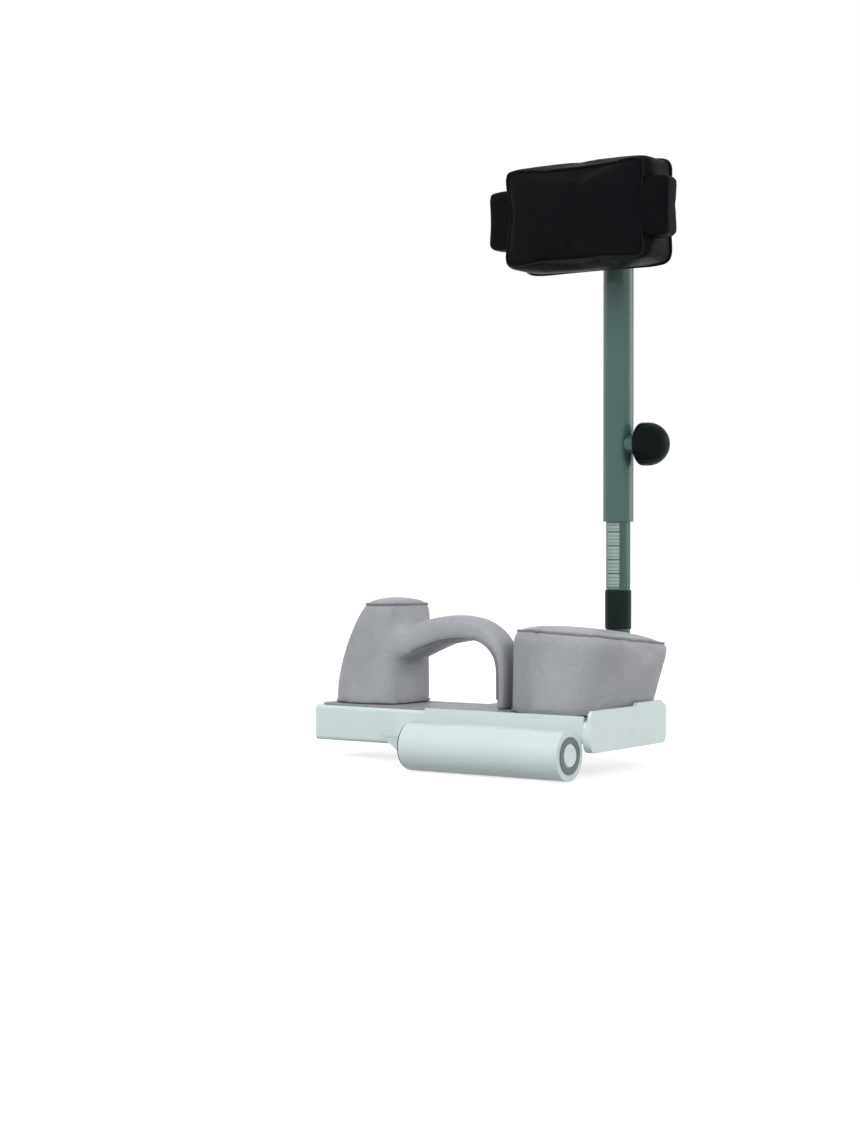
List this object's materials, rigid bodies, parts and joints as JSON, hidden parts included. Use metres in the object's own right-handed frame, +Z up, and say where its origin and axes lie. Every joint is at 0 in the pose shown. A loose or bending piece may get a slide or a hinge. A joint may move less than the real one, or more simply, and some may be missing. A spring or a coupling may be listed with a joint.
{
  "type": "face cradle cushion unit",
  "caption": "Upholstered head-end cushion with an arched face opening on a pale tray and rail, with a black tilting head pad on a height-adjustable post locked by a knob.",
  "frame": {"origin": "middle of the rail's bolted end face, at the centre of its four bolt holes", "axes": "+X along the rail towards the tray's free end, +Y from the front to the post side, +Z up along the post"},
  "size_m": [0.557, 0.3325, 0.8517],
  "materials": {
    "pale_paint": "satin powder coat",
    "pale_plastic": "fine moulded texture",
    "black_plastic": "matte moulded",
    "grey_plastic": "matte moulded",
    "board_wrap": "plywood wrapped in grey vinyl",
    "foam": "open-cell foam",
    "grey_vinyl": "soft grained vinyl",
    "grey_roll": "foam roll in grained vinyl",
    "zinc_steel": "zinc plated",
    "cast_bracket": "painted casting",
    "inner_steel": "satin drawn tube",
    "scale_white": "printed scale",
    "post_paint": "satin metallic paint",
    "brass": "turned",
    "knob_black": "moulded, lightly grained",
    "dark_steel": "black oxide",
    "plywood": "black stained plywood",
    "black_core": "firm foam in black vinyl",
    "black_vinyl": "grained vinyl"
  },
  "bodies": {
    "carrier": {"end_plate": "pale_paint", "rail_beam": "pale_paint", "tray_pan": "pale_paint", "tray_spine": "pale_paint", "tray_end_cap": "pale_plastic", "support_tube": "pale_paint", "tube_saddles": "pale_paint", "tube_gusset": "pale_paint", "tube_collar": "pale_paint", "collar_bush": "grey_plastic", "end_plug": "pale_plastic", "inlet_bush": "black_plastic", "deck_panel": "board_wrap", "bolster_base": "plywood", "bolster_foam": "foam", "bolster_cover": "grey_vinyl", "arch_hoop": "zinc_steel", "arch_roll": "grey_roll", "lobe_base": "plywood", "lobe_foam": "foam", "lobe_cover": "grey_vinyl", "tee_nuts": "zinc_steel", "cushion_bolts": "zinc_steel", "post_bracket": "cast_bracket", "bracket_bolts": "zinc_steel", "pinch_screw": "zinc_steel", "inner_post": "inner_steel", "scale_strip": "scale_white", "stop_sleeve": "black_plastic"},
    "glide": {"lower_glide_bush": "black_plastic", "upper_glide_bush": "black_plastic"},
    "outer_post": {"outer_tube": "post_paint", "tube_cap": "black_plastic", "knob_boss": "post_paint", "pivot_clevis": "post_paint"},
    "lock": {"lock_shoe": "brass"},
    "knob": {"knob_stud": "zinc_steel", "knob_grip": "knob_black"},
    "head": {"hinge_plate": "dark_steel", "pivot_pin": "zinc_steel", "pivot_nut": "zinc_steel", "friction_washers": "black_plastic", "plate_screws": "zinc_steel", "pad_board": "plywood", "pad_core": "black_core", "pad_foam": "foam", "pad_cover": "black_vinyl"}
  },
  "joints": [
    {"name": "post_height", "type": "slide", "parent": "carrier", "child": "glide", "axis": [0, 0, 1], "range_m": [-0.098, 0.1]},
    {"name": "post_swivel", "type": "hinge", "parent": "glide", "child": "outer_post", "pos_m": [0.406, 0.13, 0.4], "axis": [0, 0, 1], "range_deg": [-60, 60]},
    {"name": "knob_advance", "type": "slide", "parent": "outer_post", "child": "lock", "axis": [1, 0, 0], "range_m": [0, 0.003]},
    {"name": "knob_turn", "type": "hinge", "parent": "lock", "child": "knob", "pos_m": [0.44, 0.13, 0.407], "axis": [1, 0, 0], "range_deg": [0, 720]},
    {"name": "head_tilt", "type": "hinge", "parent": "outer_post", "child": "head", "pos_m": [0.406, 0.094, 0.726], "axis": [1, 0, 0], "range_deg": [-20, 20]}
  ],
  "couplings": [
    {"joint": "knob_advance", "follows": "knob_turn", "m_per_rad": 0.00023873}
  ]
}
